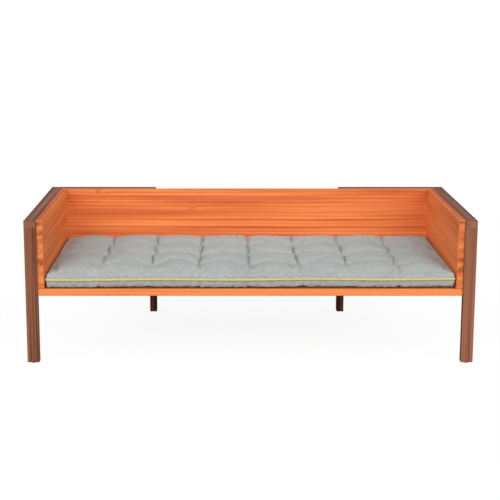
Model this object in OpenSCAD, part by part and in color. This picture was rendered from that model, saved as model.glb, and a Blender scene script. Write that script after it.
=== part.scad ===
// Dog bed: an open-fronted box of pine boards hung in a frame of flat walnut bar, with a loose
// tufted mattress. Millimetres, +Z up, the front faces -Y.
// The origin is on the floor, midway between the sides and midway between front and back.

/* [Bed] */
// Width across the two side rails
bed_w = 1200; // [1000:10:1500]
// Depth from the front legs to the back rails
bed_d = 584; // [480:2:760]
// Height of the rail tops above the floor
bed_h = 390; // [360:5:480]
// Height of the underside of the base above the floor
base_z = 185; // [120:5:220]

/* [Frame bar] */
// Wider side of the walnut bar
bar_w = 32; // [28:1:40]
// Thinner side of the walnut bar
bar_t = 21; // [18:1:26]
// Clear distance between the two back legs
back_gap = 560; // [400:10:700]

/* [Boards] */
// Thickness of the pine boards
board_t = 18; // [15:1:22]
// How far the front edges of the boards sit behind the fronts of the legs
board_setback = 5; // [2:1:7]
// Width of a batten under the base
batten_w = 40; // [30:1:60]
// How far the front ends of the battens sit behind the fronts of the legs
batten_setback = 90; // [60:5:140]

/* [Mattress] */
// Thickness of the mattress
mattress_t = 46; // [40:1:60]
// Height of the piping above the underside of the mattress
piping_h = 28; // [24:1:36]
// Gap between the mattress and the boards around it
mattress_gap = 3; // [1:0.5:8]
// Diameter of the piping
piping_d = 6; // [4:0.5:8]
// Thickness of the cover cloth
cloth_t = 1; // [0.6:0.1:2]
// Distance between tufts across the bed
tuft_pitch_x = 134; // [100:1:140]
// Distance between tufts from front to back
tuft_pitch_y = 131; // [100:1:140]

/* [Fixings] */
// Diameter of the dowels
dowel_d = 8; // [6:1:8]
// Thickness of the glides under the legs
glide_t = 2; // [1.5:0.5:4]

/* [Hidden] */

$fn = 48;
left = -1;
right = 1;
sides = [left, right];

walnut = "#7d513b";
pine = "#e07b45";
beech = "#d9bb8f";
zinc = "#b9b9b4";
nylon = "#3b3a38";
chambray = "#a3aaa6";
yellow = "#cdb43a";
wadding = "#ece8dc";
thread = "#8d9490";

// Frame positions
front_y = -bed_d / 2;
back_y = bed_d / 2;
ease = 1;                                // chamfer that takes the sharp edge off all timber
box_x = bed_w / 2 - bar_w;               // outer faces of the side panels
inner_x = box_x - board_t;
panel_y = back_y - bar_w;                // back face of the back panel
inner_y = panel_y - board_t;
board_front_y = front_y + board_setback;
leg_top = bed_h - bar_t;
deck_z = base_z + board_t;               // top of the base
back_leg_x = back_gap / 2;               // inner face of a back leg
front_leg_mid = [(bed_w - bar_w) / 2, front_y + bar_t / 2];
back_leg_mid = [back_leg_x + bar_t / 2, back_y - bar_w / 2];

// Base planks, front to back
plank_count = 3;
plank_d = (panel_y - board_front_y) / plank_count;

// Battens across the planks
batten_t = 18;
batten_back_setback = 65;
batten_share = 0.32;                     // place of the outer battens, as a share of the width
batten_x = bed_w * batten_share;
batten_front_y = front_y + batten_setback;
batten_l = back_y - batten_back_setback - batten_front_y;

// Dowels
dowel_fit = 0.1;                         // glue gap around a dowel
dowel_end = 1;                           // chamfer on a dowel's end, and glue room past it
dowel_pair = 8;                          // offset of each dowel of a pair from the bar's middle
deep = 16;                               // reach into a bar or along a plank
shallow = 11;                            // reach into the thickness of a panel
rail_cover = 7;                          // wood left above a dowel in a rail
rail_reach = bar_t - rail_cover;
rail_mid_z = bed_h - bar_t / 2;
base_mid_z = base_z + board_t / 2;
leg_dowel_y = (board_front_y + front_y + bar_t) / 2;
panel_leg_dowel_z = [base_z + 60, base_z + 135];
side_dowel_shares = [0.2, 0.5, 0.8];     // places along a side rail
back_dowel_shares = [0.35, 0.8];         // places along a back rail, from its leg outwards

// Screws
screw_fit = 0.05;
panel_screw = [4.5, 50];                 // diameter and length
batten_screw = [4, 30];
head_share = 0.55;                       // height of a countersunk head, as a share of the diameter
side_screw_shares = [0.1, 0.37, 0.63, 0.9];
back_screw_shares = [-0.44, -0.27, -0.09, 0.09, 0.27, 0.44];
batten_end = 18;                         // from the end of a batten to its last screw
plank_edge = 22;                         // from the edge of a plank to a screw

// Glides
glide_r = bar_t * 0.4;
glide_ease = 1;                          // chamfer round the foot
nail_r = 1;
nail_l = 14;
nail_fit = 0.05;
nail_room = 0.5;                         // free depth past the point of the nail

// Mattress
mattress_w = 2 * (inner_x - mattress_gap);
mattress_front_y = board_front_y + 1;
mattress_d = inner_y - mattress_gap - mattress_front_y;
mattress_y = mattress_front_y + mattress_d / 2;
mattress_lift = 0.4;                     // clearance under the loose mattress
mattress_z = deck_z + mattress_lift;
piping_r = piping_d / 2;
piping_proud = 2;                        // how far the piping stands out of the cover
corner_r = 34;                           // plan radius of the mattress corners
half_x = mattress_w / 2 - piping_proud - corner_r;
half_y = mattress_d / 2 - piping_proud - corner_r;
roll_r = 17;                             // radius of the rolled top and bottom edges
tuft_columns = 7;
tuft_rows = 3;
stitch_d = 2;
stitch_fit = 0.05;
tack_r = 3;                              // knot that lies on the cover at the top of a tie
tack_t = 0.8;
over = 1;                                // how far a cut runs past the face it starts from

// ---------- shared shapes ----------

// Rectangle with its corners cut off at 45 degrees
module eased_outline(a, b) {
    polygon([
        [ease, 0], [a - ease, 0], [a, ease], [a, b - ease],
        [a - ease, b], [ease, b], [0, b - ease], [0, ease]
    ]);
}

// Sawn timber from the corner p, with every edge eased
module timber(p, size) {
    translate(p)
    intersection() {
        linear_extrude(size.z) eased_outline(size.x, size.y);
        translate([0, size.y, 0]) rotate([90, 0, 0])
        linear_extrude(size.y) eased_outline(size.x, size.z);
        rotate([90, 0, 90]) linear_extrude(size.x) eased_outline(size.y, size.z);
    }
}

// Like timber, but x runs outwards from the middle of the bed on the given side
module side_timber(side, p, size) {
    timber([side > 0 ? p.x : -p.x - size.x, p.y, p.z], size);
}

// Turns a shape that stands on the origin along +Z so that it points along dir, which is never -Z
module point_along(dir) {
    turn = dir.x != 0 ? [0, 90 * dir.x, 0] : [-90 * dir.y, 0, 0];
    rotate(turn) children();
}

// A dowel lies across the joint at p, reaching "into" along dir and "back" the other way
module dowel(p, dir, into, back) {
    r = dowel_d / 2;
    translate(p) point_along(dir) translate([0, 0, -back])
    rotate_extrude() polygon([
        [0, 0], [r - dowel_end, 0], [r, dowel_end],
        [r, into + back - dowel_end], [r - dowel_end, into + back], [0, into + back]
    ]);
}

module dowel_hole(p, dir, into, back) {
    room = dowel_end / 2;
    translate(p) point_along(dir) translate([0, 0, -back - room])
    cylinder(d = dowel_d + 2 * dowel_fit, h = into + back + 2 * room);
}

// A countersunk screw driven up from the height z, its head flush with z
module screw(x, y, z, size) {
    d = size[0];
    head_h = d * head_share;
    tip_h = d;
    slot = [d, d / 5, head_h * 0.7];
    translate([x, y, z])
    difference() {
        union() {
            cylinder(d1 = d * 2, d2 = d, h = head_h);
            cylinder(d = d, h = size[1] - tip_h);
            translate([0, 0, size[1] - tip_h]) cylinder(d1 = d, d2 = d / 5, h = tip_h);
        }
        for (turn = [0, 90])
            rotate(turn) translate([-slot.x / 2, -slot.y / 2, -over]) cube([slot.x, slot.y, slot.z + over]);
    }
}

module screw_hole(x, y, z, size) {
    d = size[0] + 2 * screw_fit;
    translate([x, y, z]) {
        cylinder(d1 = 2 * d, d2 = d, h = size[0] * head_share);
        cylinder(d = d, h = size[1] + screw_fit);
    }
}

// ---------- where the fixings go ----------

// Legs into the rails above them
module each_leg_dowel(hole = false) {
    up = [0, 0, 1];
    for (side = sides, offset = [-dowel_pair, dowel_pair]) {
        front = [side * (front_leg_mid.x + offset), front_leg_mid.y, leg_top];
        back = [side * back_leg_mid.x, back_leg_mid.y + offset, leg_top];
        fixing_dowel(hole, front, up, rail_reach, deep);
        fixing_dowel(hole, back, up, rail_reach, deep);
    }
}

// Side rails into the ends of the back rails
module each_corner_dowel(hole = false) {
    for (side = sides, offset = [-dowel_pair, dowel_pair]) {
        corner = [side * box_x, back_leg_mid.y + offset, rail_mid_z];
        fixing_dowel(hole, corner, [side, 0, 0], deep, deep);
    }
}

// Rails and legs into the faces of the side and back panels
module each_panel_dowel(hole = false) {
    for (side = sides) {
        outwards = [side, 0, 0];
        backwards = [0, 1, 0];
        for (share = side_dowel_shares)
            fixing_dowel(hole, [side * box_x, front_y + share * bed_d, rail_mid_z], outwards, deep, shallow);
        for (z = panel_leg_dowel_z)
            fixing_dowel(hole, [side * box_x, leg_dowel_y, z], outwards, deep, shallow);
        for (share = back_dowel_shares) {
            x = back_leg_x + share * (box_x - back_leg_x);
            fixing_dowel(hole, [side * x, panel_y, rail_mid_z], backwards, deep, shallow);
        }
        for (z = panel_leg_dowel_z)
            fixing_dowel(hole, [side * back_leg_mid.x, panel_y, z], backwards, deep, shallow);
    }
}

// Legs into the ends and the back edge of the base
module each_base_dowel(hole = false) {
    for (side = sides) {
        fixing_dowel(hole, [side * box_x, leg_dowel_y, base_mid_z], [side, 0, 0], deep, deep);
        fixing_dowel(hole, [side * back_leg_mid.x, panel_y, base_mid_z], [0, 1, 0], deep, deep);
    }
}

module fixing_dowel(hole, p, dir, into, back) {
    if (hole) dowel_hole(p, dir, into, back);
    else dowel(p, dir, into, back);
}

// Up through the base into the lower edges of the panels
module each_panel_screw(hole = false) {
    side_run = inner_y - board_front_y;
    side_x = box_x - board_t / 2;
    for (side = sides, share = side_screw_shares)
        fixing_screw(hole, side * side_x, board_front_y + share * side_run, base_z, panel_screw);
    for (share = back_screw_shares)
        fixing_screw(hole, share * bed_w, panel_y - board_t / 2, base_z, panel_screw);
}

// Up through the battens into the planks
module each_batten_screw(hole = false) {
    for (side = [left, 0, right], y = batten_screw_y())
        fixing_screw(hole, side * batten_x, y, base_z - batten_t, batten_screw);
}

// Two screws into each plank: near the batten's ends, near the joints, and a quarter in from each
// edge of the middle plank
function batten_screw_y() = [
    batten_front_y + batten_end, board_front_y + plank_d - plank_edge,
    board_front_y + plank_d * 1.25, board_front_y + plank_d * 1.75,
    board_front_y + plank_d * 2 + plank_edge, batten_front_y + batten_l - batten_end
];

module fixing_screw(hole, x, y, z, size) {
    if (hole) screw_hole(x, y, z, size);
    else screw(x, y, z, size);
}

module each_glide(hole = false) {
    for (side = sides) {
        glide(hole, side * front_leg_mid.x, front_leg_mid.y);
        glide(hole, side * back_leg_mid.x, back_leg_mid.y);
    }
}

// Round nylon foot with its nail, or the hole that the nail goes into
module glide(hole, x, y) {
    bore_h = over + nail_l + nail_room;
    translate([x, y, 0])
    if (hole) translate([0, 0, glide_t - over]) cylinder(r = nail_r + nail_fit, h = bore_h);
    else rotate_extrude() polygon([
        [0, 0], [glide_r - glide_ease, 0], [glide_r, glide_ease], [glide_r, glide_t],
        [nail_r, glide_t], [nail_r, glide_t + nail_l], [0, glide_t + nail_l]
    ]);
}

// ---------- walnut frame ----------

module front_leg(side) {
    color(walnut)
    difference() {
        side_timber(side, [box_x, front_y, glide_t], [bar_w, bar_t, leg_top - glide_t]);
        each_leg_dowel(hole = true);
        each_panel_dowel(hole = true);
        each_base_dowel(hole = true);
        each_glide(hole = true);
    }
}

module back_leg(side) {
    color(walnut)
    difference() {
        side_timber(side, [back_leg_x, panel_y, glide_t], [bar_t, bar_w, leg_top - glide_t]);
        each_leg_dowel(hole = true);
        each_panel_dowel(hole = true);
        each_base_dowel(hole = true);
        each_glide(hole = true);
    }
}

module side_rail(side) {
    color(walnut)
    difference() {
        side_timber(side, [box_x, front_y, leg_top], [bar_w, bed_d, bar_t]);
        each_leg_dowel(hole = true);
        each_corner_dowel(hole = true);
        each_panel_dowel(hole = true);
    }
}

module back_rail(side) {
    color(walnut)
    difference() {
        side_timber(side, [back_leg_x, panel_y, leg_top], [box_x - back_leg_x, bar_w, bar_t]);
        each_leg_dowel(hole = true);
        each_corner_dowel(hole = true);
        each_panel_dowel(hole = true);
    }
}

// ---------- pine boards ----------

module side_panel(side) {
    color(pine)
    difference() {
        side_timber(side, [inner_x, board_front_y, deck_z],
            [board_t, inner_y - board_front_y, bed_h - deck_z]);
        each_panel_dowel(hole = true);
        each_panel_screw(hole = true);
    }
}

module back_panel() {
    color(pine)
    difference() {
        timber([-box_x, inner_y, deck_z], [2 * box_x, board_t, bed_h - deck_z]);
        each_panel_dowel(hole = true);
        each_panel_screw(hole = true);
    }
}

// Planks are counted from the front
module base_plank(i) {
    color(pine)
    difference() {
        timber([-box_x, board_front_y + i * plank_d, base_z], [2 * box_x, plank_d, board_t]);
        each_base_dowel(hole = true);
        each_panel_screw(hole = true);
        each_batten_screw(hole = true);
    }
}

module base_batten(side) {
    color(pine)
    difference() {
        timber([side * batten_x - batten_w / 2, batten_front_y, base_z - batten_t],
            [batten_w, batten_l, batten_t]);
        each_batten_screw(hole = true);
    }
}

// ---------- fixings ----------

module leg_dowels() {
    color(beech) each_leg_dowel();
}

module corner_dowels() {
    color(beech) each_corner_dowel();
}

module panel_dowels() {
    color(beech) each_panel_dowel();
}

module base_dowels() {
    color(beech) each_base_dowel();
}

module panel_screws() {
    color(zinc) each_panel_screw();
}

module batten_screws() {
    color(zinc) each_batten_screw();
}

module leg_glides() {
    color(nylon) each_glide();
}

// ---------- mattress ----------

// Section of the pad's edge, from the line of the corner centres outwards, with rolled edges
function edge_section(reach, t, roll) = concat(
    [[0, 0]],
    [for (a = [-90 : 15 : 0]) [reach - roll + roll * cos(a), roll + roll * sin(a)]],
    [for (a = [0 : 15 : 90]) [reach - roll + roll * cos(a), t - roll + roll * sin(a)]],
    [[0, t]]
);

// Runs a flat shape along each side of the pad and round the corner at its end
module round_the_pad() {
    for (turn = [0, 90, 180, 270]) {
        across = turn % 180 == 0 ? half_x : half_y;
        along = turn % 180 == 0 ? half_y : half_x;
        rotate(turn) translate([across, along, 0]) {
            rotate([90, 0, 0]) linear_extrude(2 * along) children();
            rotate_extrude(angle = 90) children();
        }
    }
}

// The mattress as a rounded pad, thinner by inset above and below and smaller by trim all round
module pad(inset, trim) {
    t = mattress_t - 2 * inset;
    translate([0, mattress_y, mattress_z + inset]) {
        translate([-half_x, -half_y, 0]) cube([2 * half_x, 2 * half_y, t]);
        round_the_pad() polygon(edge_section(corner_r - trim, t, roll_r - inset));
    }
}

module piping_ring() {
    translate([0, mattress_y, mattress_z + piping_h])
    round_the_pad() translate([corner_r + piping_proud - piping_r, 0]) circle(r = piping_r);
}

// Runs its children at each tuft, on a grid centred on the mattress
module each_tuft() {
    for (i = [0 : tuft_columns - 1], j = [0 : tuft_rows - 1])
        translate([
            (i - (tuft_columns - 1) / 2) * tuft_pitch_x,
            mattress_y + (j - (tuft_rows - 1) / 2) * tuft_pitch_y,
            mattress_z
        ]) children();
}

module stitch_holes() {
    each_tuft() translate([0, 0, -over]) cylinder(d = stitch_d + 2 * stitch_fit, h = mattress_t + 2 * over);
}

// One half of the cover: the shell above or below the piping
module cover(above) {
    edge_z = mattress_z + piping_h + (above ? piping_r : -piping_r);
    difference() {
        pad(0, 0);
        pad(cloth_t, cloth_t);
        stitch_holes();
        translate([-bed_w / 2, front_y, above ? edge_z - bed_h : edge_z]) cube([bed_w, bed_d, bed_h]);
    }
}

module mattress_cover_top() {
    color(chambray) cover(above = true);
}

module mattress_cover_bottom() {
    color(chambray) cover(above = false);
}

module mattress_piping() {
    color(yellow) piping_ring();
}

// The filling stops short of the piping
module mattress_core() {
    color(wadding)
    difference() {
        pad(cloth_t, piping_d - piping_proud + cloth_t / 2);
        stitch_holes();
    }
}

// Ties through the mattress, each with a flat knot that lies on the cover
module tuft_stitches() {
    color(thread)
    each_tuft() {
        cylinder(d = stitch_d, h = mattress_t);
        translate([0, 0, mattress_t]) cylinder(r = tack_r, h = tack_t);
    }
}

front_leg(left);  // front_leg_left
front_leg(right);  // front_leg_right
back_leg(left);  // back_leg_left
back_leg(right);  // back_leg_right
side_rail(left);  // side_rail_left
side_rail(right);  // side_rail_right
back_rail(left);  // back_rail_left
back_rail(right);  // back_rail_right
side_panel(left);  // side_panel_left
side_panel(right);  // side_panel_right
back_panel();
base_plank(0);  // base_plank_front
base_plank(1);  // base_plank_middle
base_plank(2);  // base_plank_back
base_batten(left);  // base_batten_left
base_batten(0);  // base_batten_middle
base_batten(right);  // base_batten_right
leg_dowels();
corner_dowels();
panel_dowels();
base_dowels();
panel_screws();
batten_screws();
leg_glides();
mattress_cover_top();
mattress_cover_bottom();
mattress_piping();
mattress_core();
tuft_stitches();
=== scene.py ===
"""Dog bed with frame: finishes for the timber and fixings, and the soft parts of the mattress."""

import math

import bpy
import numpy as np
from bpy.props import FloatProperty, FloatVectorProperty, IntProperty, PointerProperty
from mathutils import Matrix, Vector, noise


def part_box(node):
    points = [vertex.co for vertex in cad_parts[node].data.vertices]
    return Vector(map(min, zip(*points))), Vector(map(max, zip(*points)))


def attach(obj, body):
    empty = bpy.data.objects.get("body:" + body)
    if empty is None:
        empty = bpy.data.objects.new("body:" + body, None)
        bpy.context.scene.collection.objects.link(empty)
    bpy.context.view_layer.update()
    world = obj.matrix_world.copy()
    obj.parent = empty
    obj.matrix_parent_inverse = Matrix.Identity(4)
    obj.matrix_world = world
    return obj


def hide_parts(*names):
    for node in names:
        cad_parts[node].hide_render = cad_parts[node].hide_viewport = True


bl_info = {
    "name": "Dog bed with frame",
    "version": (1, 0, 0),
    "blender": (4, 5, 0),
    "location": "3D View > Sidebar > Dog bed",
    "description": "Finishes and soft parts for a low dog bed with a timber frame",
    "category": "Object",
}

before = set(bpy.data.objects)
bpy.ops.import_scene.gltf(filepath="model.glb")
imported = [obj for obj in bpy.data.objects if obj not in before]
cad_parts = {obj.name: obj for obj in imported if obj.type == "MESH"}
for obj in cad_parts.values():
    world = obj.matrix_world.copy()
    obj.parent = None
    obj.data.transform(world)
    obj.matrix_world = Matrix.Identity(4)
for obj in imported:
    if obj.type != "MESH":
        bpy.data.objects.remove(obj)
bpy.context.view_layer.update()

MM = 0.001
X, Y, Z = 0, 1, 2


# ---------------------------------------------------------------- sizes read from the frame

WALNUT_ENDINGS = ("leg_left", "leg_right", "rail_left", "rail_right")
PINE_BEGINNINGS = ("side_panel", "back_panel", "base_plank", "base_batten")
WALNUT_NODES = [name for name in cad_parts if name.endswith(WALNUT_ENDINGS)]
PINE_NODES = [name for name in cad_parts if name.startswith(PINE_BEGINNINGS)]
DOWEL_NODES = ["leg_dowels", "corner_dowels", "panel_dowels", "base_dowels"]
SCREW_NODES = ["panel_screws", "batten_screws"]

SEAM_SPREAD = 1.5 * MM          # how far the seam stands out of each end of the cover
pad_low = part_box("mattress_cover_bottom")[0]
pad_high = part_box("mattress_cover_top")[1]
piping_low, piping_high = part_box("mattress_piping")
PAD_MIDDLE = ((pad_low.x + pad_high.x) / 2, (pad_low.y + pad_high.y) / 2)
HALF_LENGTH = (pad_high.x - pad_low.x) / 2 + SEAM_SPREAD
HALF_DEPTH = (pad_high.y - pad_low.y) / 2
FRONT_SEAM = PAD_MIDDLE[1] - HALF_DEPTH
BACK_SEAM = PAD_MIDDLE[1] + HALF_DEPTH
BOARD_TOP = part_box("base_plank_front")[1].z
SEAM_HEIGHT = (piping_low.z + piping_high.z) / 2
PIPING_RADIUS = (piping_high.z - piping_low.z) / 2
TUFT_COLUMNS = 7
TUFT_ROWS = 3
tie_low, tie_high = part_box("tuft_stitches")
TUFT_PITCH_X = (tie_high.x - tie_low.x) / (TUFT_COLUMNS - 1)
TUFT_PITCH_Y = (tie_high.y - tie_low.y) / (TUFT_ROWS - 1)


# ---------------------------------------------------------------- sizes and colours a user may change

COLOUR = {"subtype": "COLOR", "size": 3, "min": 0, "max": 1}
LENGTH = {"subtype": "DISTANCE", "unit": "LENGTH"}
SHARE = {"subtype": "FACTOR", "min": 0, "max": 1}


class WalnutFinish(bpy.types.PropertyGroup):
    """Colours and grain of the oiled walnut frame."""

    pale: FloatVectorProperty(
        name="Pale walnut", description="Colour of the wood between its dark streaks",
        **COLOUR, default=(0.36, 0.135, 0.070))
    dark: FloatVectorProperty(
        name="Dark walnut", description="Colour of the dark streaks",
        **COLOUR, default=(0.060, 0.016, 0.008))
    ring_gap: FloatProperty(
        name="Ring gap", description="Distance between growth rings",
        **LENGTH, min=1 * MM, max=30 * MM, default=4.2 * MM)
    roughness: FloatProperty(
        name="Roughness", description="How matt the oil finish is",
        **SHARE, default=0.55)


class PineFinish(bpy.types.PropertyGroup):
    """Colours and grain of the orange stained pine boards."""

    pale: FloatVectorProperty(
        name="Pale pine", description="Colour of the soft wood between the rings",
        **COLOUR, default=(0.88, 0.255, 0.066))
    dark: FloatVectorProperty(
        name="Dark pine", description="Colour of the hard dark rings",
        **COLOUR, default=(0.50, 0.075, 0.012))
    ring_gap: FloatProperty(
        name="Ring gap", description="Distance between growth rings",
        **LENGTH, min=1 * MM, max=30 * MM, default=11 * MM)
    roughness: FloatProperty(
        name="Roughness", description="How matt the stain and wax are",
        **SHARE, default=0.60)


class MattressSettings(bpy.types.PropertyGroup):
    """Cloth, stuffing and trimming of the mattress."""

    warp_colour: FloatVectorProperty(
        name="Warp", description="Colour of the threads that run along the cloth",
        **COLOUR, default=(0.315, 0.345, 0.335))
    weft_colour: FloatVectorProperty(
        name="Weft", description="Colour of the threads that run across the cloth",
        **COLOUR, default=(0.415, 0.44, 0.425))
    piping_colour: FloatVectorProperty(
        name="Piping", description="Colour of the yellow piping",
        **COLOUR, default=(0.67, 0.51, 0.12))
    thread_pitch: FloatProperty(
        name="Thread pitch", description="Distance between neighbouring threads of the cloth",
        **LENGTH, min=0.2 * MM, max=3 * MM, default=0.8 * MM)
    pressure: FloatProperty(
        name="Stuffing pressure", description="How hard the filling pushes the cloth out",
        min=0, max=10, default=1.6)
    spare_cloth: FloatProperty(
        name="Spare cloth", description="How much more cloth is sewn in than the flat size needs",
        subtype="FACTOR", min=0, max=0.1, default=0.03)
    steps: IntProperty(
        name="Settling steps", description="Frames of cloth simulation",
        min=1, max=60, default=24)


class StageSettings(bpy.types.PropertyGroup):
    """Camera and light."""

    distance: FloatProperty(
        name="Camera distance", description="From the front legs back to the camera, along the floor",
        **LENGTH, min=1, max=20, default=3.346)
    height: FloatProperty(
        name="Camera height", description="Height of the camera above the floor",
        **LENGTH, min=0, max=10, default=1.0)
    sideways: FloatProperty(
        name="Camera offset", description="How far the camera stands to the right of the middle",
        **LENGTH, min=-5, max=5, default=-0.067)
    look_down: FloatProperty(
        name="Look down", description="How far the camera is tipped down",
        subtype="ANGLE", unit="ROTATION", min=0, max=math.pi / 2, default=math.radians(11.63))
    lens: FloatProperty(
        name="Focal length", description="Focal length in millimetres on a 36 mm sensor",
        min=10, max=300, default=92.85)
    shift: FloatProperty(
        name="Sideways shift", description="Shift of the image, as a part of its width",
        min=-1, max=1, default=0.0495)


# ---------------------------------------------------------------- shader helpers

def feed(tree, node, inputs):
    """Links or sets a node's inputs."""
    for socket_name, value in inputs.items():
        socket = node.inputs[socket_name]
        if isinstance(value, bpy.types.NodeSocket):
            tree.links.new(value, socket)
        else:
            socket.default_value = value


def put(tree, kind, inputs=None, **options):
    """Adds a node, sets its options, and links or sets its inputs."""
    node = tree.nodes.new(kind)
    for option, value in options.items():
        setattr(node, option, value)
    feed(tree, node, inputs or {})
    return node


def sum_of(tree, operation, *values, clamp=False):
    """A Math node's result."""
    node = put(tree, "ShaderNodeMath", dict(enumerate(values)), operation=operation, use_clamp=clamp)
    return node.outputs[0]


def vector_of(tree, operation, *values):
    """A Vector Math node."""
    return put(tree, "ShaderNodeVectorMath", dict(enumerate(values)), operation=operation)


def blend_of(tree, factor, first, second, kind="MIX"):
    """Two colours mixed by a factor."""
    def full(colour):
        return colour if isinstance(colour, bpy.types.NodeSocket) else (*tuple(colour)[:3], 1)
    inputs = {0: factor, 6: full(first), 7: full(second)}
    return put(tree, "ShaderNodeMix", inputs, data_type="RGBA", blend_type=kind).outputs[2]


def steps_of(tree, factor, stops):
    """A ramp through grey levels, given as (place, level) pairs."""
    node = put(tree, "ShaderNodeValToRGB", {"Fac": factor})
    ramp = node.color_ramp
    while len(ramp.elements) < len(stops):
        ramp.elements.new(0.5)
    for element, (place, level) in zip(ramp.elements, stops):
        element.position = place
        element.color = (level, level, level, 1)
    return node.outputs["Color"]


def object_place(tree):
    """Where a point lies in the piece's own coordinates."""
    return put(tree, "ShaderNodeTexCoord").outputs["Object"]


def cloud_of(tree, place, stretch, detail=3.0, rough=0.5, seed=0.0):
    """Noise from 0 to 1 in the wood's or cloth's own coordinates, stretched by three scales."""
    shift = (seed, seed * 1.7, seed * 0.6)
    moved = put(tree, "ShaderNodeMapping", {"Vector": place, "Scale": stretch, "Location": shift})
    node = put(tree, "ShaderNodeTexNoise", {
        "Vector": moved.outputs[0], "Scale": 1.0, "Detail": detail, "Roughness": rough})
    return node.outputs[0]


def blank_material(name):
    """A material with only a Principled shader, with its tree and shader."""
    material = bpy.data.materials.new(name)
    material.use_nodes = True
    tree = material.node_tree
    return material, tree, tree.nodes["Principled BSDF"]


def raise_surface(tree, shader, height, depth):
    """Feeds a height, whose full range is `depth` metres, to the shader as bump."""
    bump = put(tree, "ShaderNodeBump", {"Height": height, "Distance": depth, "Strength": 1.0})
    tree.links.new(bump.outputs[0], shader.inputs["Normal"])


def finish_node(name, material):
    """Gives a CAD node its material."""
    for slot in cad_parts[name].material_slots:
        slot.material = material


# ---------------------------------------------------------------- timber

KNOT_REACH = 10 * MM
KNOT_BULGE = 9 * MM             # how far a knot pushes the rings out
KNOT_STRETCH = 0.5              # a knot is longer along the grain
KNOT_WEIGHT = 0.3
FIBRE_WEIGHT = 0.22
WORN_WIDTH = 1.6 * MM           # how far from an edge its wear reaches
SQUARE_ON = [(0.80, 0), (0.95, 1)]      # from a slanting face to one square to a direction
DEFAULT_WALNUT_TONE = 0.16
# How much each walnut piece is darkened: on the back legs this is painted shade, for the shadow under the
# bed.
WALNUT_TONES_AND_SHADE = {
    "front_leg_left": 0.20, "front_leg_right": -0.04,
    "back_leg_left": 0.55, "back_leg_right": 0.50,
}
# "wander" and "shake" move the rings, slowly and quickly along the grain. "ring", "streak" and "band" say
# how strongly each darkens the wood, and "depth" where that starts. "tone" darkens the whole piece (on the
# back legs that is painted shade), and "handled" paints shade on its upper faces, against the light from
# above.
WALNUT_LOOK = {
    "kind": "walnut",
    "wander": 26 * MM,
    "shake": 2.2 * MM,
    "ring": 0.36,
    "ring_steps": [(0.0, 0.1), (0.5, 0.35), (0.85, 1.0), (1.0, 0.1)],
    "streak": 0.80,
    "fineness": 270,
    "band": 0.28,
    "band_place": (0.8, 22, 22),
    "depth": -0.42,
    "tone": 0.0,
    "painted_top_shade": 0.0,
    "pore": 0.8,
    "relief": 0.25 * MM,
    "gloss": 0.22,
    "end_share": 0.6,
    "end_pale": (0.42, 0.19, 0.11),
    "end_dark": (0.22, 0.085, 0.045),
    "wear": 0.3,
    "worn_colour": (0.33, 0.15, 0.085),
}
PINE_LOOK = {
    "kind": "stained_pine",
    "wander": 24 * MM,
    "shake": 1.0 * MM,
    "ring": 0.44,
    "ring_steps": [(0.0, 0.05), (0.40, 0.35), (0.72, 1.0), (1.0, 0.05)],
    "streak": 0.40,
    "fineness": 150,
    "band": 0.45,
    "band_place": (2.0, 48, 48),
    "depth": -0.36,
    "tone": 0.0,
    "painted_top_shade": 0.0,
    "pore": 0.25,
    "relief": 0.30 * MM,
    "gloss": 0.35,
    "end_share": 0.75,
    "end_pale": (0.84, 0.255, 0.068),
    "end_dark": (0.34, 0.045, 0.008),
    "wear": 0.25,
    "worn_colour": (0.88, 0.30, 0.09),
}


def grain_axis(name):
    """Timber is cut with its grain along its longest side."""
    low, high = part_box(name)
    return max((X, Y, Z), key=lambda axis: high[axis] - low[axis])


def grain_coordinates(tree, name, heart):
    """Coordinates with the grain along x, centred on the heart of the tree. `heart` is how far that lies
    from the middle of the piece, in the two directions across the grain."""
    low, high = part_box(name)
    x, y, z = (low + high) / 2
    turn, middle = {
        X: ((0, 0, 0), (x, y, z)),
        Y: ((0, 0, -math.pi / 2), (y, -x, z)),
        Z: ((0, math.pi / 2, 0), (z, y, -x)),
    }[grain_axis(name)]
    centre = Vector(middle) + Vector((0, *heart))
    mapping = put(tree, "ShaderNodeMapping", {
        "Vector": object_place(tree), "Rotation": turn, "Location": -centre})
    return mapping.outputs[0]


def edge_wear(tree, width):
    """From 0 on flat faces to 1 on the rounded edges."""
    soft = put(tree, "ShaderNodeBevel", {"Radius": width}, samples=4)
    hard = put(tree, "ShaderNodeNewGeometry")
    facing = vector_of(tree, "DOT_PRODUCT", soft.outputs[0], hard.outputs["Normal"])
    return steps_of(tree, facing.outputs["Value"], [(0.82, 1), (0.99, 0)])


def knot_bulges(tree, name, place, heart, knots):
    """For each knot of a board, given by its x and z, 1 in the knot, dying away round it."""
    middle = sum(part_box(name), Vector()) / 2
    bulges = []
    for along, height in knots:
        away = vector_of(tree, "ADD", place, (middle.x - along, 0, middle.z - height + heart[1])).outputs[0]
        away = vector_of(tree, "MULTIPLY", away, (KNOT_STRETCH, 0, 1)).outputs[0]
        away = vector_of(tree, "LENGTH", away).outputs["Value"]
        squared = sum_of(tree, "POWER", sum_of(tree, "DIVIDE", away, KNOT_REACH), 2.0)
        bulges.append(sum_of(tree, "POWER", math.e, sum_of(tree, "MULTIPLY", squared, -1.0)))
    return bulges


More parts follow.
